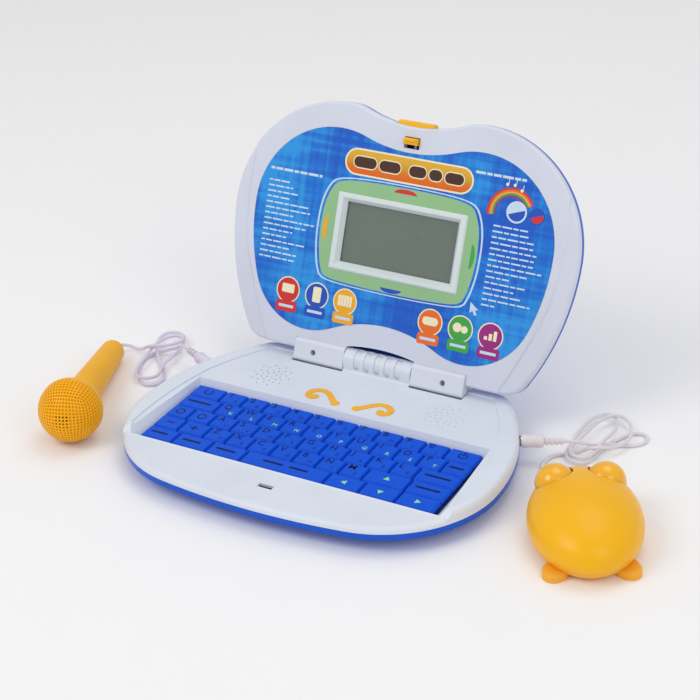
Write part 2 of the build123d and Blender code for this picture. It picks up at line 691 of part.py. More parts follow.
def eye_ball(side, radius):
    return Pos(side * EYE_X, EYE_Y, EYE_Z) * Sphere(radius)


def mouse_top_shell():
    above = block(-60, 60, -60, 60, MOUSE_BELT, 60)
    shell = (mouse_ball(0) & above) - mouse_ball(1.8)
    for side in (-1, 1):
        shell -= eye_ball(side, EYE_R + EYE_GAP)
    mouth = Pos(0, MOUSE_MID[1] + MOUSE_SEMI[1], TAIL_Z) * Rot(90, 0, 0) * Cylinder(1.5, 12)
    return on_mouse(shell - mouth)


def mouse_bottom_shell():
    """Floor of the mouse, with two webbed feet under its front corners."""
    tub = mouse_ball(0) & block(-60, 60, -60, 60, 3.4, MOUSE_BELT)
    floor = Pos(0, MOUSE_MID[1]) * loft([Ellipse(25.5, 38.5), Pos(0, 0, 3.4) * Ellipse(29.6, 42.7)])
    feet = both_sides(Pos(19.5, -30.0, 0) * Rot(0, 0, 30) * extrude(Ellipse(7.5, 10.0), 4.6))
    feet = fillet(feet.edges().group_by(Axis.Z)[-1], 1.6)
    inner = mouse_ball(1.8) & block(-60, 60, -60, 60, 1.8, 20)
    return on_mouse(tub + floor + feet - inner)


def mouse_eye(side):
    """Domed button that stands out of the mouse as an eye."""
    dome = eye_ball(side, EYE_R) - eye_ball(side, EYE_R - 1.6)
    dome -= block(-60, 60, -60, 60, -10, EYE_Z - 6.5)
    return on_mouse(dome)


def mouse_board():
    board = extrude(Pos(0, 0, 3.6) * Ellipse(20, 26), 1.6)
    for side in (-1, 1):
        board += post(side * 10, 20, 5.2, 9.0, 3.0)
    return on_mouse(board)


# ------------------------------------------------------------------ plugs and cords
def plug_body(side):
    """Moulded plug grip with a waist, a finger recess and a ribbed strain relief."""
    grip = revolve(Plane.XZ * make_face([
        Spline((3.7, PLUG_FROM), (PLUG_R, PLUG_FROM + 1.5), (3.75, 7.5), (PLUG_R, PLUG_TO - 1.5),
               (3.2, PLUG_TO)),
        Polyline((3.2, PLUG_TO), (0, PLUG_TO), (0, PLUG_FROM), (3.7, PLUG_FROM))]), Axis.Z)
    grip -= Pos(PLUG_R, 0, 7.5) * Box(0.8, 3.4, 5.5)
    relief = Pos(0, 0, (PLUG_TO + RELIEF_TO) / 2) * Cone(1.9, 1.5, RELIEF_TO - PLUG_TO)
    for k in range(4):
        z = PLUG_TO + 1.6 + k * 3.0
        relief += Pos(0, 0, z) * Cylinder(RELIEF_R - 0.12 * k, 1.5)
    return jack_place(side).location * (grip + relief)


def plug_pin(side):
    pin = Pos(0, 0, (0.7 + PLUG_FROM) / 2) * Cylinder(2.9, PLUG_FROM - 0.7)
    pin += Pos(0, 0, 0.7 - PLUG_PIN_L / 2) * Cylinder(PLUG_PIN_R, PLUG_PIN_L)
    for z in (-3.4, -6.6):
        pin -= Pos(0, 0, z) * (Cylinder(3, 0.6) - Cylinder(PLUG_PIN_R - 0.2, 0.6))
    return jack_place(side).location * pin


def past_jack(side, reach):
    """Point on a socket's axis, that far out of it, as a tuple."""
    return tuple((jack_place(side).location * Pos(0, 0, reach)).position)


def cord_tube(name, points):
    """Round tube along straight runs joined by the largest arcs that the runs allow."""
    spots = [Vector(*p) for p in points]
    radii = []
    for before, here, after in zip(spots, spots[1:], spots[2:]):
        turn = (here - before).get_angle(after - here)
        run = min((here - before).length, (after - here).length)
        radii.append(0.45 * run / tan(radians(turn / 2)))
    path = FilletPolyline(*spots, radius=radii)
    start = Plane(origin=spots[0], z_dir=spots[1] - spots[0])
    tube = sweep(start.location * Circle(CORD_D / 2), path=path)
    section = pi * CORD_D ** 2 / 4
    print(name, "radii", [round(r, 1) for r in radii], "length", round(path.length, 1),
          "volume share", round(tube.volume / (section * path.length), 4))
    return tube


def hank(outline, height):
    """Closed solid of the outer shape of a flat bundle of cord that lies on the table."""
    face = make_face(Spline(*outline, periodic=True))
    return chamfer(extrude(face, height).edges().group_by(Axis.Z)[-1], 1.0)


MIC_TAIL = (Vector(*MIC_END) - Vector(*MIC_BALL)).normalized() * MIC_END_R + Vector(*MIC_END)
MIC_CORD = [
    [tuple(MIC_TAIL), (-190.2, 54.5, 6.5), (-189.6, 58.4, 5.4), (-187.3, 61.7, 4.2),
     (-183.7, 63.4, 3.0), (-179.3, 63.3, 2.0), (-173.6, 62.0, 1.3), (-168.4, 59.9, 1.3)],
    [past_jack(-1, RELIEF_TO), past_jack(-1, RELIEF_TO + 6), (-146.0, 65.2, 11.6),
     (-151.0, 68.5, 7.0), (-156.5, 69.3, 3.0)],
]
MIC_HANK = [(-142, 28), (-150, 23.5), (-160, 32), (-170, 45), (-171.5, 58), (-174, 72),
            (-176, 85), (-169, 94.5), (-158, 92), (-149.5, 82), (-147.5, 66), (-146, 50),
            (-141, 38)]
MOUSE_TAIL = on_mouse(Pos(0, MOUSE_MID[1] + MOUSE_SEMI[1] - 0.5, TAIL_Z)).position
MOUSE_CORD = [
    [past_jack(1, RELIEF_TO), past_jack(1, RELIEF_TO + 6), (145.0, 66.6, 11.0),
     (147.6, 73.4, 6.4), (150.2, 79.6, 2.6)],
    [tuple(MOUSE_TAIL), (152.4, 32.6, 9.4), (147.4, 37.6, 4.6), (140.2, 37.8, 1.6),
     (132.6, 36.8, 1.3), (127.0, 42.4, 1.3), (125.0, 50.0, 1.3), (126.2, 58.4, 1.3),
     (131.0, 64.4, 1.3), (138.6, 66.0, 1.3)],
]
MOUSE_HANK = [(140, 55), (147, 55), (151, 70), (160, 76), (167, 87), (172, 96), (167, 106),
              (158, 113), (146, 119), (135, 115), (130.6, 98), (133, 82), (136.5, 67)]


# ------------------------------------------------------------------ write every sub-part
def write_base():
    save("base_top_shell", base_top_shell())
    save("base_bottom_shell", base_bottom_shell())
    save("battery_door", battery_door())
    save("battery_door_screw", screw(0, TAB_Y, FOOT_H, 2.5, 1.0, 1.05, FOOT_H + SKIN + 3.8))
    save("base_screws", Compound(children=[
        screw(x, y, FOOT_H + 1.2, 2.6, 1.8, 1.2, SEAM + 1.0) for x, y in SCREWS]))
    feet = [post(x, y, 0, FOOT_H, 5) for x, y in FEET]
    save("rubber_feet", Compound(children=feet))
    save("batteries", batteries())
    save("battery_contacts", battery_contacts())
    save("speaker", speaker())
    save("main_board", main_board())
    save("mic_jack", jack(-1))
    save("mouse_jack", jack(1))
    inlay = slab(scroll_face(0), DECK - 0.8, DECK + 0.4)
    save("scroll_inlay_left", inlay)
    save("scroll_inlay_right", mirror(inlay, Plane.YZ))


def write_keyboard():
    y0 = KEYS_Y - KEYS_D / 2
    y1 = KEYS_Y + KEYS_D / 2
    save("keypad_mat", block(-102, 102, y0 - 1.6, y1 + 1.6, MAT_TOP - 1.2, MAT_TOP))
    save("keypad_board", block(-101, 101, y0, y1, MAT_TOP - 2.8, MAT_TOP - 1.2))
    for node, (row, count) in LETTER_ROWS.items():
        save(node, letter_row(row, count))
    for node, spans in KEYS.items():
        save(node, key_group(spans))


def write_lid():
    save("lid_front_frame", lid_front_frame())
    save("lid_back_shell", lid_back_shell())
    save("lid_screws", lid_screws())
    save("art_panel", art_panel())
    save("screen_bezel", screen_bezel())
    for node, shape in lcd_stack().items():
        save(node, shape)
    for name, side in (("left", -1), ("right", 1)):
        save(f"hinge_block_{name}", hinge_block(side))
        save(f"hinge_pin_{name}", hinge_pin(side))
    save("hinge_block_screws", hinge_block_screws())
    save("latch", latch())
    save("latch_spring", latch_spring())


def write_accessories():
    save("mic_head", mic_head())
    save("mic_handle", mic_handle())
    save("mic_capsule", mic_capsule())
    save("mouse_top_shell", mouse_top_shell())
    save("mouse_bottom_shell", mouse_bottom_shell())
    save("mouse_eye_left", mouse_eye(-1))
    save("mouse_eye_right", mouse_eye(1))
    save("mouse_board", mouse_board())
    for name, side, routes, outline in (("mic", -1, MIC_CORD, MIC_HANK),
                                        ("mouse", 1, MOUSE_CORD, MOUSE_HANK)):
        save(f"{name}_plug_body", plug_body(side))
        save(f"{name}_plug_pin", plug_pin(side))
        tubes = [cord_tube(name, route) for route in routes]
        save(f"{name}_cord_hank", hank(outline, 5.6) - tubes)
        save(f"{name}_cord", Compound(children=tubes))


write_base()
write_keyboard()
write_lid()
write_accessories()
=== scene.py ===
"""Looks of a toy laptop computer with a microphone and a mouse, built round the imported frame."""

from math import cos, pi, radians, sin

import bpy
from mathutils import Matrix, Vector


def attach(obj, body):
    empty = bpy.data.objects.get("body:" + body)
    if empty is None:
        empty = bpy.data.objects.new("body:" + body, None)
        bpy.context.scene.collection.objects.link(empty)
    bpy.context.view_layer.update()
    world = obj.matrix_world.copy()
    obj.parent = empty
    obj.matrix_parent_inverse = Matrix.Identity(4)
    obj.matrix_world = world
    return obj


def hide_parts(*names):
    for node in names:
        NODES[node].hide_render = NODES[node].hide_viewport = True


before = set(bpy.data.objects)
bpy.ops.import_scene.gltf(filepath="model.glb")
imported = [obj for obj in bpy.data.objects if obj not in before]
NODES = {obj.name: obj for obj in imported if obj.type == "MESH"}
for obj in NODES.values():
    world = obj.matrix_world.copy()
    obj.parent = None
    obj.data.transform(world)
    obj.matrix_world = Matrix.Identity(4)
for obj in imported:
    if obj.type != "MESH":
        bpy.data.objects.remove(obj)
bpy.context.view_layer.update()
MM = 0.001

# Millimetres, apart from the slope. The lid's printed face lies in a plane through the hinge.
HINGE_Y = 77.75
HINGE_Z = 24.75
SLOPE = radians(68.13)
SINK = 0.1


# ------------------------------------------------------------------ materials
def srgb(r, g, b):
    """0-255 screen colour as linear RGBA."""
    out = []
    for c in (r, g, b):
        c /= 255
        out.append(c / 12.92 if c <= 0.04045 else ((c + 0.055) / 1.055) ** 2.4)
    return (*out, 1.0)


def shade(colour, factor):
    return tuple(min(1.0, c * factor) for c in colour[:3]) + (1.0,)


class Maker:
    """Small helper for node trees."""

    def __init__(self, name):
        self.material = bpy.data.materials.new(name)
        self.material.use_nodes = True
        self.tree = self.material.node_tree
        self.shader = self.tree.nodes["Principled BSDF"]
        self.coords = self.add("ShaderNodeTexCoord").outputs["Object"]

    def add(self, kind, **values):
        node = self.tree.nodes.new(kind)
        for key, value in values.items():
            setattr(node, key, value)
        return node

    def link(self, a, b):
        self.tree.links.new(a, b)

    def noise(self, scale, detail=3.0, source=None):
        node = self.add("ShaderNodeTexNoise")
        node.inputs["Scale"].default_value = scale
        node.inputs["Detail"].default_value = detail
        self.link(source or self.coords, node.inputs["Vector"])
        return node.outputs["Fac"]

    def ramp(self, source, stops):
        node = self.add("ShaderNodeValToRGB")
        elements = node.color_ramp.elements
        while len(elements) < len(stops):
            elements.new(0.5)
        for element, (place, colour) in zip(elements, stops):
            element.position = place
            element.color = colour
        self.link(source, node.inputs["Fac"])
        return node.outputs["Color"]

    def spread(self, source, low, high):
        node = self.add("ShaderNodeMapRange")
        node.inputs["From Min"].default_value = 0.3
        node.inputs["From Max"].default_value = 0.7
        node.inputs["To Min"].default_value = low
        node.inputs["To Max"].default_value = high
        self.link(source, node.inputs["Value"])
        return node.outputs["Result"]

    def bump(self, source, strength, distance):
        node = self.add("ShaderNodeBump")
        node.inputs["Strength"].default_value = strength
        node.inputs["Distance"].default_value = distance
        self.link(source, node.inputs["Height"])
        self.link(node.outputs["Normal"], self.shader.inputs["Normal"])


def plastic(name, colour, rough=0.4, grain=1400.0, depth=0.00002, coat=0.0, metal=0.0, vary=0.03,
            shine=0.5):
    """Moulded plastic, rubber or metal: faint tone drift, moulded grain and uneven gloss."""
    m = Maker(name)
    drift = m.noise(28.0, 4.0)
    m.link(m.ramp(drift, [(0.3, shade(colour, 1 - vary)), (0.7, shade(colour, 1 + vary))]),
           m.shader.inputs["Base Color"])
    m.link(m.spread(m.noise(160.0), rough * 0.85, rough * 1.15), m.shader.inputs["Roughness"])
    m.bump(m.noise(grain, 2.0), 0.35, depth)
    m.shader.inputs["Metallic"].default_value = metal
    m.shader.inputs["Coat Weight"].default_value = coat
    m.shader.inputs["Specular IOR Level"].default_value = shine
    return m.material


SHELL = plastic("shell_plastic", srgb(222, 228, 239), 0.4)
FRAME_PLASTIC = plastic("lid_frame_plastic", srgb(216, 221, 236), 0.36)
BLUE = plastic("blue_plastic", srgb(0, 84, 204), 0.3, shine=0.3)
KEY = plastic("key_rubber", srgb(0, 84, 218), 0.5, grain=2200.0, depth=0.00004, shine=0.2)
MAT = plastic("mat_rubber", srgb(8, 34, 96), 0.6)
FOOT = plastic("foot_rubber", srgb(34, 34, 36), 0.75)
BOARD = plastic("circuit_board", srgb(26, 92, 50), 0.4)
DARK = plastic("dark_plastic", srgb(20, 20, 22), 0.5)
STEEL = plastic("zinc_steel", srgb(165, 168, 172), 0.3, metal=1.0)
CELL = plastic("battery_wrap", srgb(50, 110, 70), 0.3, coat=0.3)
PLATE = plastic("plated_metal", srgb(205, 205, 208), 0.18, metal=1.0)
BEZEL = plastic("bezel_plastic", srgb(222, 232, 232), 0.32)
LCD = plastic("lcd_face", srgb(84, 101, 87), 0.3, grain=300.0, depth=0.000002, vary=0.02,
              shine=0.25)
LATCH = plastic("latch_yellow", srgb(250, 186, 6), 0.34, coat=0.1)
YELLOW = plastic("yellow_plastic", srgb(252, 186, 0), 0.34, shine=0.35)
MIC_YELLOW = plastic("mic_yellow", srgb(250, 180, 0), 0.42, shine=0.3)
ORANGE = plastic("pale_orange_plastic", srgb(250, 178, 50), 0.4, shine=0.35)
GLOSS_YELLOW = plastic("glossy_yellow", srgb(250, 182, 0), 0.14, coat=0.5)
CORD_LILAC = plastic("cord_lilac", srgb(222, 214, 232), 0.5, grain=2600.0)
CORD_GREY = plastic("cord_grey", srgb(228, 223, 228), 0.5, grain=2600.0)
# Dark brown painted shade, put in the microphone's open nose dimples for the dark inside of each
# hole.
HOLE_SHADE = plastic("painted_hole_shade", srgb(40, 30, 4), 0.8)
WHITE_INK = plastic("white_ink", srgb(206, 226, 244), 0.4)
NAVY_INK = plastic("navy_ink", srgb(0, 16, 84), 0.5, shine=0.2)
FAINT_INK = plastic("faint_ink", srgb(2, 44, 150), 0.5, shine=0.2)
GREEN_INK = plastic("green_ink", srgb(150, 222, 150), 0.5)
PANEL_GREEN = plastic("panel_green", srgb(150, 196, 142), 0.4)
BROWN_INK = plastic("brown_ink", srgb(70, 34, 12), 0.45)
RED = plastic("red_ink", srgb(214, 44, 40), 0.4)
AMBER = plastic("amber_ink", srgb(246, 176, 30), 0.4)
MID_BLUE = plastic("mid_blue_ink", srgb(18, 78, 190), 0.4)
TANGERINE = plastic("orange_ink", srgb(240, 112, 30), 0.4)
LEAF = plastic("leaf_ink", srgb(60, 170, 70), 0.4)
PURPLE = plastic("purple_ink", srgb(158, 30, 128), 0.4)
CREAM = plastic("cream_ink", srgb(250, 240, 200), 0.4)


def window_material():
    """Thin clear cover: nearly invisible apart from its gloss."""
    m = Maker("clear_window")
    m.shader.inputs["Base Color"].default_value = (0.9, 0.95, 0.9, 1.0)
    m.shader.inputs["Alpha"].default_value = 0.06
    m.shader.inputs["Coat Weight"].default_value = 0.15
    m.link(m.spread(m.noise(90.0), 0.05, 0.1), m.shader.inputs["Roughness"])
    return m.material


def art_material():
    """Printed blue panel: crossed streaks of lighter and darker blue under soft clouds."""
    m = Maker("printed_art")
    turn = m.add("ShaderNodeMapping")
    turn.inputs["Rotation"].default_value = (-SLOPE, 0, 0)
    m.link(m.coords, turn.inputs["Vector"])
    waves = []
    long, short = 9.0, 260.0
    for stretch in ((long, short, 1.0), (short, long, 1.0)):
        squash = m.add("ShaderNodeMapping")
        squash.inputs["Scale"].default_value = stretch
        m.link(turn.outputs["Vector"], squash.inputs["Vector"])
        waves.append(m.noise(1.0, 2.0, squash.outputs["Vector"]))
    weave = m.add("ShaderNodeMath", operation="ADD")
    m.link(waves[0], weave.inputs[0])
    m.link(waves[1], weave.inputs[1])
    clouds = m.noise(24.0, 3.0, turn.outputs["Vector"])
    mix = m.add("ShaderNodeMath", operation="MULTIPLY_ADD")
    m.link(weave.outputs["Value"], mix.inputs[0])
    mix.inputs[1].default_value = 0.5
    m.link(clouds, mix.inputs[2])
    centred = m.add("ShaderNodeMapRange")
    centred.inputs["From Min"].default_value = 0.7
    centred.inputs["From Max"].default_value = 1.3
    m.link(mix.outputs["Value"], centred.inputs["Value"])
    colour = m.ramp(centred.outputs["Result"], [
        (0.25, srgb(0, 90, 202)), (0.5, srgb(2, 118, 216)), (0.78, srgb(36, 152, 232))])
    m.link(colour, m.shader.inputs["Base Color"])
    m.link(m.spread(m.noise(120.0), 0.24, 0.34), m.shader.inputs["Roughness"])
    m.bump(m.noise(900.0), 0.1, 0.00002)
    return m.material


def banner_material():
    """Yellow at the top of the banner to orange at its foot."""
    m = Maker("banner_print")
    foot, head = 0.1325, 0.148
    split = m.add("ShaderNodeSeparateXYZ")
    m.link(m.coords, split.inputs["Vector"])
    span = m.add("ShaderNodeMapRange")
    span.inputs["From Min"].default_value = foot
    span.inputs["From Max"].default_value = head
    m.link(split.outputs["Z"], span.inputs["Value"])
    m.link(m.ramp(span.outputs["Result"], [
        (0.0, srgb(222, 84, 10)), (0.5, srgb(232, 118, 12)), (0.56, srgb(204, 150, 26)),
        (0.9, srgb(228, 176, 50))]),
        m.shader.inputs["Base Color"])
    m.link(m.spread(m.noise(160.0), 0.28, 0.38), m.shader.inputs["Roughness"])
    return m.material


ART = art_material()
BANNER = banner_material()
WINDOW = window_material()

NODE_LOOKS = {
    SHELL: ["base_top_shell", "hinge_block_left", "hinge_block_right"],
    FRAME_PLASTIC: ["lid_front_frame"],
    BLUE: ["base_bottom_shell", "lid_back_shell", "battery_door"],
    KEY: ["letter_keys_1", "letter_keys_2", "letter_keys_3", "letter_keys_4", "reset_key",
          "power_key", "enter_key", "edit_keys", "answer_keys", "mode_keys", "volume_keys",
          "arrow_keys"],
    MAT: ["keypad_mat", "lcd_connectors"],
    FOOT: ["rubber_feet"],
    BOARD: ["keypad_board", "main_board", "lcd_board", "mouse_board"],
    DARK: ["speaker", "mic_capsule", "mic_jack", "mouse_jack"],
    STEEL: ["base_screws", "battery_door_screw", "lid_screws", "hinge_block_screws",
            "hinge_pin_left", "hinge_pin_right", "battery_contacts", "latch_spring"],
    CELL: ["batteries"],
    PLATE: ["mic_plug_pin", "mouse_plug_pin"],
    ART: ["art_panel"],
    BEZEL: ["screen_bezel"],
    WINDOW: ["lcd_window"],
    LCD: ["lcd_glass"],
    LATCH: ["latch", "scroll_inlay_left", "scroll_inlay_right"],
    MIC_YELLOW: ["mic_head", "mic_handle"],
    YELLOW: ["mouse_top_shell"],
    ORANGE: ["mouse_bottom_shell"],
    GLOSS_YELLOW: ["mouse_eye_left", "mouse_eye_right"],
    CORD_LILAC: ["mic_plug_body"],
    CORD_GREY: ["mouse_plug_body"],
}
for look, names in NODE_LOOKS.items():
    for node_name in names:
        slots = NODES[node_name].data.materials
        slots.clear()
        slots.append(look)


# ------------------------------------------------------------------ mesh helpers
LID = Matrix(((1, 0, 0, 0), (0, cos(SLOPE), -sin(SLOPE), HINGE_Y),
              (0, sin(SLOPE), cos(SLOPE), HINGE_Z), (0, 0, 0, 1)))
FLAT = Matrix.Identity(4)


class Mesh:
    """Collects closed shapes, in millimetres of a local plane, into one object."""

    def __init__(self, place=FLAT):
        self.place = place
        self.points = []
        self.faces = []

    def add(self, points, faces):
        base = len(self.points)
        self.points += [self.place @ Vector(p) for p in points]
        self.faces += [tuple(base + i for i in f) for f in faces]

    def prism(self, outline, z0, z1):
        """Closed slab of a counter-clockwise outline."""
        n = len(outline)
        points = [(x, y, z0) for x, y in outline] + [(x, y, z1) for x, y in outline]
        faces = [tuple(range(n - 1, -1, -1)), tuple(range(n, 2 * n))]
        faces += [(i, (i + 1) % n, n + (i + 1) % n, n + i) for i in range(n)]
        self.add(points, faces)

    def band(self, outer, inner, z0, z1):
        """Closed flat ring between two outlines with as many points each."""
        n = len(outer)
        points = [(x, y, z) for ring, z in ((outer, z0), (outer, z1), (inner, z1), (inner, z0))
                  for x, y in ring]
        faces = []
        for k in range(4):
            a, b = k * n, (k + 1) % 4 * n
            faces += [(a + i, a + (i + 1) % n, b + (i + 1) % n, b + i) for i in range(n)]
        self.add(points, faces)

    def make(self, name, material, body, smooth=False):
        data = bpy.data.meshes.new(name)
        data.from_pydata([p * MM for p in self.points], [], self.faces)
        data.validate()
        data.materials.append(material)
        data.polygons.foreach_set("use_smooth", [smooth] * len(data.polygons))
        obj = bpy.data.objects.new(name, data)
        bpy.context.collection.objects.link(obj)
        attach(obj, body)
        return obj


def circle(x, y, r, n=32, start=0.0, sweep=2 * pi):
    """Points round a circle, or along part of one."""
    closed = abs(sweep - 2 * pi) < 1e-6
    steps = n if closed else n + 1
    return [(x + r * cos(start + sweep * k / n), y + r * sin(start + sweep * k / n))
            for k in range(steps)]


def box(x0, x1, y0, y1):
    return [(x0, y0), (x1, y0), (x1, y1), (x0, y1)]


def pill(x0, x1, y0, y1, n=12):
    """Bar with round ends."""
    r = (y1 - y0) / 2
    y = (y0 + y1) / 2
    return circle(x1 - r, y, r, n, -pi / 2, pi) + circle(x0 + r, y, r, n, pi / 2, pi)


def rounded(x0, x1, y0, y1, r, n=5):
    corners = [(x1 - r, y0 + r, -pi / 2), (x1 - r, y1 - r, 0), (x0 + r, y1 - r, pi / 2),
               (x0 + r, y0 + r, pi)]
    return [p for x, y, a in corners for p in circle(x, y, r, n, a, pi / 2)]


def smooth_loop(points, steps=8):
    """Closed Catmull-Rom curve through the points."""
    out = []
    n = len(points)
    for i in range(n):
        p0, p1, p2, p3 = (Vector(points[(i + k) % n]) for k in (-1, 0, 1, 2))
        for s in range(steps):
            t = s / steps
            v = 0.5 * (2 * p1 + (p2 - p0) * t + (2 * p0 - 5 * p1 + 4 * p2 - p3) * t * t
                       + (3 * p1 - p0 - 3 * p2 + p3) * t ** 3)
            out.append((v.x, v.y))
    return out


def by_angle(outline, centre, n=120):
    """The outline's points where rays from the centre, evenly spaced in angle, meet it."""
    cx, cy = centre
    out = []
    for k in range(n):
        a = 2 * pi * k / n
        dx, dy = cos(a), sin(a)
        best = 0.0
        for (x0, y0), (x1, y1) in zip(outline, outline[1:] + outline[:1]):
            ex, ey = x1 - x0, y1 - y0
            cross = dx * ey - dy * ex
            if abs(cross) < 1e-12:
                continue
            t = ((x0 - cx) * ey - (y0 - cy) * ex) / cross
            u = ((x0 - cx) * dy - (y0 - cy) * dx) / cross
            if t > 0 and -1e-9 <= u <= 1 + 1e-9:
                best = max(best, t)
        out.append((cx + dx * best, cy + dy * best))
    return out


def grow(outline, centre, factor):
    return [(centre[0] + (x - centre[0]) * factor, centre[1] + (y - centre[1]) * factor)
            for x, y in outline]


# ------------------------------------------------------------------ printing on the lid
PRINT = 4.15
SCREEN = (0.0, 79.75)


def word_bars(mesh, x, y, length, height, top, seed):
    """A greeked line of text: bars of word length."""
    end = x + length
    k = seed
    while x < end - 1.2:
        word = min(2.6 + (k * 37 % 11) * 0.45, end - x)
        mesh.prism(box(x, x + word, y - height / 2, y + height / 2), PRINT - SINK, top)
        x += word + 0.9
        k += 1


def print_screen_surround():
    half = [(0, 115.5), (30, 114.9), (47, 112.6), (53, 107.5), (57, 96), (58, 81), (57, 66),
            (53.6, 52.5), (48.5, 47.4), (30, 45.6), (0, 45)]
    loop = half + [(-x, v) for x, v in reversed(half[1:-1])]
    outer = by_angle(smooth_loop(loop[::-1]), SCREEN)
    inner = by_angle(rounded(-45.3, 45.3, 55.2, 104.3, 1.0), SCREEN)
    for name, factor, top, material in (("panel_outline", 1.0, 0.04, WHITE_INK),
                                        ("panel_line", 0.980, 0.07, ART),
                                        ("panel_field", 0.952, 0.10, PANEL_GREEN)):
        mesh = Mesh(LID)
        mesh.band(grow(outer, SCREEN, factor), inner, PRINT - SINK, PRINT + top)
        mesh.make(name, material, "lid")
    for name, outline, material in (
            ("panel_mark_top", circle(1, 107.0, 8, 24, 0, pi), RED),
            ("panel_mark_bottom", circle(0.5, 52.6, 7.5, 24, pi, pi), MID_BLUE),
            ("panel_mark_left", circle(-47.4, 80.2, 8.2, 24, pi / 2, pi), AMBER),
            ("panel_mark_right", circle(47.9, 79.8, 7.8, 24, -pi / 2, pi), LEAF)):
        cx = sum(p[0] for p in outline) / len(outline)
        cy = sum(p[1] for p in outline) / len(outline)
        flat_x = 0.36 if "left" in name or "right" in name else 1.0
        flat_y = 0.36 if flat_x == 1.0 else 1.0
        mesh = Mesh(LID)
        mesh.prism([(cx + (x - cx) * flat_x, cy + (y - cy) * flat_y) for x, y in outline],
                   PRINT - SINK, PRINT + 0.14)
        mesh.make(name, material, "lid")


def print_banner():
    edge = Mesh(LID)
    edge.prism(pill(-44.6, 45.6, 116.4, 133.6), PRINT - SINK, PRINT + 0.12)
    edge.make("banner_edge", CREAM, "lid")
    face = Mesh(LID)
    face.prism(pill(-43.5, 44.5, 117.5, 132.5), PRINT - SINK, PRINT + 0.16)
    face.make("banner_face", BANNER, "lid")
    halo = Mesh(LID)
    ink = Mesh(LID)
    for x0, x1 in ((-38, -22), (-20, -5), (1, 13), (15, 24), (26, 39)):
        halo.prism(pill(x0 - 0.6, x1 + 0.6, 121.0, 129.2), PRINT, PRINT + 0.19)
        ink.prism(pill(x0, x1, 121.7, 128.5), PRINT, PRINT + 0.22)
    halo.make("banner_halo", CREAM, "lid")
    ink.make("banner_marks", BROWN_INK, "lid")


def print_texts():
    """Two columns of greeked lines, each under a bolder heading."""
    mesh = Mesh(LID)
    top = PRINT + 0.05
    heading, line = 1.6, 1.0
    left_edge, right_edge = -97, 63
    word_bars(mesh, left_edge, 111.5, 38, heading, top, 3)
    left = [17, 18, 22, 17, 31, 33, 21, 37, 31, 22, 18, 32, 23, 27, 26]
    for i, length in enumerate(left):
        word_bars(mesh, left_edge, 103.8 - 3.55 * i, length, line, top, i)
    word_bars(mesh, 46, 132, 34, heading, top, 5)
    right = [23, 24, 28, 30, 31, 30, 30, 36, 27, 17, 28, 20, 25, 32, 9]
    for i, length in enumerate(right):
        word_bars(mesh, right_edge, 101.7 - 3.52 * i, length, line, top, i + 4)
    mesh.make("printed_lines", WHITE_INK, "lid")


BADGES = [("red", -72.0, 35.5, RED), ("blue", -50.7, 35.5, MID_BLUE), ("amber", -30.0, 35.5, AMBER),
          ("orange", 31.0, 34.5, TANGERINE), ("green", 52.0, 34.5, LEAF),
          ("purple", 72.7, 34.0, PURPLE)]


def badge_icon(mesh, kind, x, y, z0, z1):
    """Plain pictogram for each badge."""
    if kind == "red":
        mesh.prism(rounded(x - 4.5, x + 4.5, y - 2.5, y + 3.2, 0.8), z0, z1)
    elif kind == "blue":
        mesh.prism(rounded(x - 3.0, x + 3.0, y - 5.0, y + 5.0, 1.2), z0, z1)
    elif kind == "amber":
        for k in range(5):
            mesh.prism(box(x - 5 + k * 2.05, x - 3.3 + k * 2.05, y - 3.5, y + 3.5), z0, z1)
    elif kind == "orange":
        mesh.prism(pill(x - 5.5, x + 5.5, y - 2.6, y + 2.6), z0, z1)
    elif kind == "green":
        mesh.prism(circle(x - 2.2, y, 3.0), z0, z1)
        mesh.prism(circle(x + 2.8, y - 0.6, 2.3), z0, z1 + 0.02)
    else:
        for k in range(3):
            mesh.prism(box(x - 4.2 + k * 3.1, x - 2.0 + k * 3.1, y - 3.2, y - 1 + k * 2), z0, z1)


def print_badges():
    edge = Mesh(LID)
    icons = Mesh(LID)
    labels = Mesh(LID)
    for kind, x, y, material in BADGES:
        edge.prism(circle(x, y, 8.6, 40), PRINT - SINK, PRINT + 0.06)
        disc = Mesh(LID)
        disc.prism(circle(x, y, 7.8, 40), PRINT - SINK, PRINT + 0.1)
        disc.prism(rounded(x - 7.5, x + 7.5, y - 14.3, y - 7.2, 1.5), PRINT - SINK, PRINT + 0.12)
        disc.make(f"badge_{kind}", material, "lid")
        badge_icon(icons, kind, x, y + 0.6, PRINT, PRINT + 0.16)
        labels.prism(box(x - 5.4, x + 5.4, y - 11.6, y - 9.8), PRINT, PRINT + 0.16)
    edge.make("badge_edges", CREAM, "lid")
    icons.make("badge_icons", CREAM, "lid")
    labels.make("badge_labels", WHITE_INK, "lid")


def arch(cx, cy, r0, r1, a0, a1, n=28):
    """Outline of part of a flat ring, counter-clockwise."""
    out = circle(cx, cy, r1, n, a0, a1 - a0)
    return out + circle(cx, cy, r0, n, a1, a0 - a1)


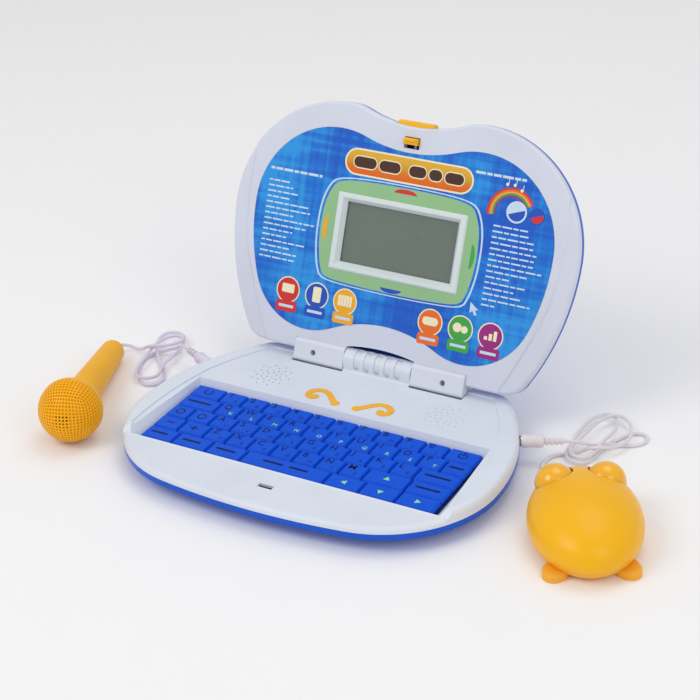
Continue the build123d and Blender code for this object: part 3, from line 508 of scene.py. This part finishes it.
def print_rainbow():
    bands = [("red", RED), ("orange", TANGERINE), ("amber", AMBER), ("green", LEAF),
             ("purple", PURPLE)]
    for k, (name, material) in enumerate(bands):
        mesh = Mesh(LID)
        mesh.prism(arch(73, 110.5, 14.9 - 1.2 * k, 16 - 1.2 * k, radians(28), radians(190)),
                   PRINT - SINK, PRINT + 0.08)
        mesh.make(f"rainbow_{name}", material, "lid")
    note = Mesh(LID)
    for k in range(3):
        x, y = 68 + 5 * k, 127.8 + (k % 2) * 1.4 - k * 1.2
        note.prism(circle(x, y, 1.0, 16), PRINT - SINK, PRINT + 0.12)
        note.prism(box(x + 0.6, x + 1.0, y, y + 3.4), PRINT - SINK, PRINT + 0.12)
    note.make("rainbow_notes", CREAM, "lid")
    for name, x, y, r, under, over in (("left", 76.7, 112.0, 6.8, WHITE_INK, MID_BLUE),
                                       ("right", 90.3, 111.6, 5.2, MID_BLUE, RED)):
        disc = Mesh(LID)
        disc.prism(circle(x, y, r), PRINT - SINK, PRINT + 0.14)
        disc.make(f"roundel_{name}", under, "lid")
        wedge = Mesh(LID)
        wedge.prism(circle(x, y, r * 0.82, 24, radians(200), radians(180)), PRINT, PRINT + 0.17)
        wedge.make(f"roundel_{name}_half", over, "lid")


def print_pointer():
    mesh = Mesh(LID)
    mesh.prism([(56, 52.5), (56.3, 45.6), (58.2, 47.2), (59.9, 44.4), (61.2, 45.2), (59.8, 47.9),
                (62.0, 48.2)], PRINT - SINK, PRINT + 0.1)
    mesh.make("pointer_mark", WHITE_INK, "lid")


print_screen_surround()
print_banner()
print_texts()
print_badges()
print_rainbow()
print_pointer()


# ------------------------------------------------------------------ legends on the keys
KEY_TOP = 17.0
KEY_INK = KEY_TOP + 0.04
KEY_INK_OVER = KEY_TOP + 0.045
KEY_PITCH = 15.72
ROW_D = 13.84
BACK_ROW = 19.6


def row_y(row):
    return BACK_ROW - (row + 0.5) * ROW_D + 0.25


def start_x(row):
    return -78.3 + 4.9 * row


def letters(name, spots, size, material, body):
    """Raised print of single characters: spots are (character, x, y)."""
    mesh = Mesh()
    for sign, x, y in spots:
        curve = bpy.data.curves.new("glyph", "FONT")
        curve.body = sign
        curve.size = size
        curve.extrude = 0.03
        curve.offset = size * 0.012
        curve.resolution_u = 2
        glyph = bpy.data.objects.new("glyph", curve)
        data = bpy.data.meshes.new_from_object(glyph)
        mesh.add([(v.co.x + x, v.co.y + y, KEY_TOP + 0.02 + v.co.z) for v in data.vertices],
                 [tuple(p.vertices) for p in data.polygons])
        bpy.data.objects.remove(glyph)
        bpy.data.curves.remove(curve)
        bpy.data.meshes.remove(data)
    return mesh.make(name, material, body)


ROWS = [("1234567890", "ABCDEFGHIJ"), ("QWERTYUIOP", "KLMNOPQRST"), ("ASDFGHJKL", "UVWXYZABC"),
        ("ZXCVBNM", "DEFGHIJ")]
for row, (main, second) in enumerate(ROWS):
    body = f"letter_keys_{row + 1}_body"
    x0 = start_x(row)
    letters(f"legends_{row + 1}", [(c, x0 + KEY_PITCH * k + 3.0, row_y(row) + 0.6)
                                   for k, c in enumerate(main)], 6.8, NAVY_INK, body)
    letters(f"sub_legends_{row + 1}", [(c, x0 + KEY_PITCH * k + 9.6, row_y(row) - 4.4)
                                       for k, c in enumerate(second)], 4.2,
            GREEN_INK if row == 1 else FAINT_INK, body)


def key_marks():
    """Bars, arrows and simple signs on the other keys."""
    def bars(name, body, material, spots):
        mesh = Mesh()
        for x0, x1, row, dy in spots:
            y = row_y(row) + dy
            mesh.prism(pill(x0, x1, y - 0.9, y + 0.9), KEY_TOP - SINK, KEY_INK)
        mesh.make(name, material, body)

    bars("enter_marks", "enter_key_body", NAVY_INK, [(-16, -2, 4, 0.4), (2, 15, 4, 0.4)])
    bars("edit_marks", "edit_keys_body", NAVY_INK, [(-96, -79, 1, 0.4), (87, 97, 1, 0.4)])
    bars("answer_marks", "answer_keys_body", NAVY_INK, [(78, 95, 2, 0.4), (79, 95, 3, 0.4)])
    bars("mode_marks", "mode_keys_body", NAVY_INK, [(-96, -84, 4, 0.4), (-73, -60, 4, 0.4),
                                                    (-49, -35, 4, 0.4)])
    mesh = Mesh()
    for x in (-92.2, -76.5):
        mesh.band(circle(x, row_y(2), 3.0), circle(x, row_y(2), 2.1), KEY_TOP - SINK,
                  KEY_INK)
    mesh.make("mode_rings", NAVY_INK, "mode_keys_body")
    mesh = Mesh()
    mesh.prism(box(-93, -88, row_y(3) - 0.5, row_y(3) + 0.5), KEY_TOP - SINK, KEY_INK)
    mesh.prism(box(-76, -71, row_y(3) - 0.5, row_y(3) + 0.5), KEY_TOP - SINK, KEY_INK)
    mesh.prism(box(-74, -73, row_y(3) - 2.5, row_y(3) + 2.5), KEY_TOP - SINK, KEY_INK_OVER)
    mesh.make("volume_marks", NAVY_INK, "volume_keys_body")
    for name, body, x in (("reset", "reset_key_body", -89.2), ("power", "power_key_body", 89.5)):
        mesh = Mesh()
        mesh.prism(arch(x, row_y(0), 2.2, 3.1, radians(120), radians(420)), KEY_TOP - SINK,
                   KEY_INK)
        if name == "power":
            mesh.prism(box(x - 0.45, x + 0.45, row_y(0), row_y(0) + 4.2), KEY_TOP - SINK,
                       KEY_INK_OVER)
        mesh.make(f"{name}_mark", NAVY_INK, body)
    mesh = Mesh()
    for x, row, turn in ((60.5, 3, 90), (39.7, 4, 180), (63.2, 4, 270), (87.5, 4, 0)):
        mesh.prism([(x + 2.4 * cos(radians(turn + a)), row_y(row) + 2.4 * sin(radians(turn + a)))
                    for a in (0, 120, 240)], KEY_TOP - SINK, KEY_INK)
    mesh.make("arrow_marks", GREEN_INK, "arrow_keys_body")


key_marks()


# ------------------------------------------------------------------ microphone head
BALL = Vector((-152.4, -47.6, 20.2))
TAIL = Vector((-186.1, 43.4, 8.1))
BALL_R = 20.2


def mic_place():
    z = (TAIL - BALL).normalized()
    x = Vector((0.9, 0.33, 0.0))
    x = (x - z * x.dot(z)).normalized()
    y = z.cross(x)
    return Matrix(((x.x, y.x, z.x, BALL.x), (x.y, y.y, z.y, BALL.y), (x.z, y.z, z.z, BALL.z),
                   (0, 0, 0, 1)))


def mic_grille():
    """Ball with square dimples on a cube-like grid; at its nose each dimple is an open hole, with a
    dark block at its floor as painted shade for the dark inside of the hole.
    """
    cells = 14
    middle = (cells - 1) / 2
    rim_share, face_drop = 0.22, 0.02
    dimple, hole_depth, pit_up, pit_down = 0.95, 2.4, 0.3, 0.4
    shell = Mesh(mic_place())
    shade_blocks = Mesh(mic_place())

    def on_ball(face, a, b, radius):
        ta, tb = (pi / 4) * a, (pi / 4) * b
        u, v = sin(ta) / cos(ta), sin(tb) / cos(tb)
        spot = {"nose": (u, v, -1), "east": (1, u, v), "west": (-1, -u, v), "north": (-u, 1, v),
                "south": (u, -1, v)}[face]
        size = (spot[0] ** 2 + spot[1] ** 2 + spot[2] ** 2) ** 0.5
        return tuple(radius * c / size for c in spot)

    for face in ("nose", "east", "west", "north", "south"):
        for i in range(cells):
            for j in range(cells):
                if face != "nose" and j >= cells // 2 + 1:
                    continue
                a0, a1 = -1 + 2 * i / cells, -1 + 2 * (i + 1) / cells
                b0, b1 = -1 + 2 * j / cells, -1 + 2 * (j + 1) / cells
                rim = (a1 - a0) * rim_share
                hole = face == "nose" and abs(i - middle) < 2 and abs(j - middle) < 2
                deep = hole_depth if hole else dimple
                slant = rim * (1.05 if hole else 1.2)
                corners = ((0, 0), (1, 0), (1, 1), (0, 1))
                rings = []
                for pad, radius in ((0, BALL_R), (rim, BALL_R - face_drop),
                                    (slant, BALL_R - deep)):
                    rings.append([on_ball(face, (a1 - pad) if ca else (a0 + pad),
                                          (b1 - pad) if cb else (b0 + pad), radius)
                                  for ca, cb in corners])
                flat = [p for ring in rings for p in ring]
                walls = [(r * 4 + k, r * 4 + (k + 1) % 4, r * 4 + 4 + (k + 1) % 4, r * 4 + 4 + k)
                         for r in (0, 1) for k in range(4)]
                shell.add(flat, walls + [(8, 9, 10, 11)])
                # Each open hole gets a dark block round its floor: painted shade for the hole's
                # dark inside.
                if hole:
                    floor_r = BALL_R - deep
                    pit, low = ([tuple(c * (floor_r + d) / floor_r for c in p) for p in rings[2]]
                                for d in (pit_up, -pit_down))
                    shade_blocks.add(pit + low, [(0, 1, 2, 3), (7, 6, 5, 4), (0, 4, 5, 1), (1, 5, 6, 2),
                                          (2, 6, 7, 3), (3, 7, 4, 0)])
    ball = shell.make("mic_grille", MIC_YELLOW, "mic_set")
    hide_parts("mic_head")
    # The dark blocks: painted shade in the nose dimples.
    shade_blocks.make("mic_hole_shade_blocks", HOLE_SHADE, "mic_set")
    collar = Mesh(mic_place())
    n = 96
    profile = [(BALL_R - 0.9, 1.2), (BALL_R - 0.1, 1.5), (BALL_R, 2.4),
               (BALL_R - 0.1, 3.3), (BALL_R - 0.9, 3.8)]
    points = [(r * cos(2 * pi * k / n), r * sin(2 * pi * k / n), z)
              for k in range(n) for r, z in profile]
    m = len(profile)
    faces = [(k * m + q, (k + 1) % n * m + q, (k + 1) % n * m + (q + 1) % m, k * m + (q + 1) % m)
             for k in range(n) for q in range(m)]
    collar.add(points, faces)
    collar.make("mic_collar", MIC_YELLOW, "mic_set", smooth=True)


mic_grille()


# ------------------------------------------------------------------ cords
CORD_R = 1.1


def spline_cord(name, points, radius, material, body):
    """One smooth NURBS spline through the given control points, in millimetres."""
    curve = bpy.data.curves.new(name, "CURVE")
    curve.dimensions = "3D"
    curve.bevel_depth = radius * MM
    curve.bevel_resolution = 4
    curve.resolution_u = 8
    curve.use_fill_caps = True
    spline = curve.splines.new("NURBS")
    spline.points.add(len(points) - 1)
    for control, spot in zip(spline.points, points):
        control.co = (*(c * MM for c in spot), 1.0)
    spline.order_u = 3
    spline.use_endpoint_u = True
    curve.materials.append(material)
    obj = bpy.data.objects.new(name, curve)
    bpy.context.collection.objects.link(obj)
    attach(obj, body)
    return obj


def past_jack(side, reach):
    """A spot on the plug's axis, that far out of the left (-1) or right (1) jack."""
    turn = radians(25.6)
    return (side * (110.35 + reach * cos(turn)), 47.5 + reach * sin(turn), 14.0)


MOUSE_ROUTE = [
    past_jack(1, 27.1), past_jack(1, 33.1), (145.0, 66.6, 11.0), (147.6, 73.4, 6.4),
    (152.0, 82.6, 3.9), (160.0, 88.4, 1.4), (168.0, 92.2, 1.2), (172.0, 98.4, 1.2),
    (170.8, 104.8, 1.2), (165.0, 107.4, 1.2), (159.4, 103.2, 1.2), (155.4, 94.6, 1.2),
    (151.6, 84.0, 1.2), (150.4, 73.0, 1.4), (149.6, 62.6, 1.8), (145.2, 57.0, 2.6),
    (138.8, 56.6, 3.4),
    (134.4, 61.6, 3.8), (133.2, 72.0, 3.6), (131.8, 86.0, 3.5), (131.6, 100.0, 3.5),
    (133.8, 110.8, 3.5), (139.6, 117.0, 3.5), (146.2, 115.0, 3.5), (150.4, 105.0, 3.7),
    (151.6, 92.0, 4.8), (150.8, 79.6, 6.8), (150.2, 68.2, 5.2), (147.4, 59.8, 5.4),
    (141.6, 57.8, 5.8), (136.4, 61.4, 6.1), (135.6, 71.0, 6.0), (137.4, 86.0, 5.8),
    (138.6, 100.4, 5.8), (142.0, 111.0, 5.9), (149.0, 115.6, 5.4), (156.8, 110.6, 4.4),
    (162.6, 99.6, 3.8), (162.4, 86.6, 4.2), (158.8, 76.6, 6.0), (153.4, 71.0, 7.9),
    (147.6, 67.8, 7.9), (142.0, 66.4, 4.4), (137.8, 65.6, 1.6), (131.0, 64.0, 1.3),
    (126.2, 58.4, 1.3), (125.0, 50.0, 1.3), (127.0, 42.4, 1.3), (132.6, 36.8, 1.3),
    (140.2, 37.8, 1.6), (147.4, 37.6, 4.6), (152.4, 32.6, 9.4), (155.5, 27.8, 12.0)]

MIC_ROUTE = [
    past_jack(-1, 27.1), past_jack(-1, 33.1), (-146.0, 65.2, 11.6), (-151.0, 68.5, 7.0),
    (-158.2, 69.0, 3.4), (-165.8, 65.0, 1.6), (-169.0, 57.0, 1.2), (-166.6, 46.0, 1.2),
    (-160.0, 35.8, 1.2), (-152.6, 26.8, 1.2), (-146.4, 26.0, 1.2), (-141.4, 29.6, 1.2),
    (-140.4, 35.8, 1.2), (-146.0, 45.0, 1.4), (-155.0, 53.4, 2.6), (-163.4, 62.4, 4.3),
    (-170.4, 73.0, 3.4), (-174.0, 83.0, 3.4), (-172.6, 89.8, 3.4), (-167.2, 93.4, 3.4),
    (-161.0, 91.4, 3.4), (-155.6, 84.6, 3.4), (-151.4, 74.6, 3.6), (-149.8, 63.0, 4.0),
    (-149.6, 52.0, 4.6), (-147.4, 43.6, 4.4), (-144.4, 36.6, 4.2), (-146.2, 30.6, 4.4),
    (-151.4, 27.2, 4.8), (-157.4, 28.6, 4.6), (-161.6, 35.0, 4.6), (-164.4, 47.0, 5.0),
    (-167.2, 60.0, 5.6), (-168.4, 71.0, 5.9), (-167.2, 80.0, 5.8), (-162.6, 85.6, 5.8),
    (-156.6, 85.0, 5.8), (-153.4, 78.6, 6.6), (-154.4, 70.2, 8.4), (-160.0, 63.4, 8.8),
    (-167.8, 60.8, 8.8), (-173.6, 62.0, 4.4), (-179.3, 63.3, 2.2), (-183.7, 63.4, 3.0),
    (-187.3, 61.7, 4.2), (-189.6, 58.4, 5.4), (-190.2, 54.5, 6.5), (-188.9, 50.9, 7.1)]

# The cords as drawn here.
mouse_cord = spline_cord("mouse_cord_line", MOUSE_ROUTE, CORD_R, CORD_GREY, "mouse_set")
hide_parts("mouse_cord", "mouse_cord_hank")
mic_cord = spline_cord("mic_cord_line", MIC_ROUTE, CORD_R, CORD_LILAC, "mic_set")
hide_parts("mic_cord", "mic_cord_hank")


# ------------------------------------------------------------------ floor, light, camera
def floor():
    mesh = bpy.data.meshes.new("floor")
    mesh.from_pydata([(-4, -3, 0), (4, -3, 0), (4, 5, 0), (-4, 5, 0)], [], [(0, 1, 2, 3)])
    mesh.materials.append(plastic("floor_paper", srgb(250, 250, 251), 0.7, grain=60.0,
                                  depth=0.00001, vary=0.004))
    obj = bpy.data.objects.new("floor", mesh)
    bpy.context.collection.objects.link(obj)


def area_light(name, place, target, size, power):
    data = bpy.data.lights.new(name, "AREA")
    data.shape = "DISK"
    data.size = size
    data.energy = power
    lamp = bpy.data.objects.new(name, data)
    lamp.location = place
    aim = Vector(target) - Vector(place)
    lamp.rotation_mode = "QUATERNION"
    lamp.rotation_quaternion = aim.to_track_quat("-Z", "Y")
    bpy.context.collection.objects.link(lamp)


def studio():
    world = bpy.data.worlds.new("studio")
    world.use_nodes = True
    world.node_tree.nodes["Background"].inputs["Color"].default_value = (1, 1, 1, 1)
    world.node_tree.nodes["Background"].inputs["Strength"].default_value = 0.62
    bpy.context.scene.world = world
    bpy.context.scene.view_settings.view_transform = "Standard"
    area_light("key_light", (-0.7, -0.9, 1.3), (0, 0, 0.05), 0.9, 6.0)
    area_light("fill_light", (1.0, -0.5, 0.9), (0, 0, 0.05), 0.8, 2.2)
    area_light("top_light", (0.1, 0.5, 1.5), (0, 0, 0.05), 1.0, 3.4)


def camera():
    """Long lens from the front right, a little above."""
    yaw, pitch, roll = radians(30.05), radians(28.61), radians(-2.37)
    at = (0.5265, -0.8709, 0.6285)
    back = Vector((sin(yaw) * cos(pitch), -cos(yaw) * cos(pitch), sin(pitch)))
    right = Vector((cos(yaw), sin(yaw), 0))
    up = back.cross(right)
    x = right * cos(roll) + up * sin(roll)
    y = up * cos(roll) - right * sin(roll)
    data = bpy.data.cameras.new("camera")
    data.lens = 100.38
    data.sensor_width = 36
    obj = bpy.data.objects.new("camera", data)
    obj.matrix_world = Matrix(((x.x, y.x, back.x, at[0]), (x.y, y.y, back.y, at[1]),
                               (x.z, y.z, back.z, at[2]), (0, 0, 0, 1)))
    bpy.context.collection.objects.link(obj)
    bpy.context.scene.camera = obj


floor()
studio()
camera()
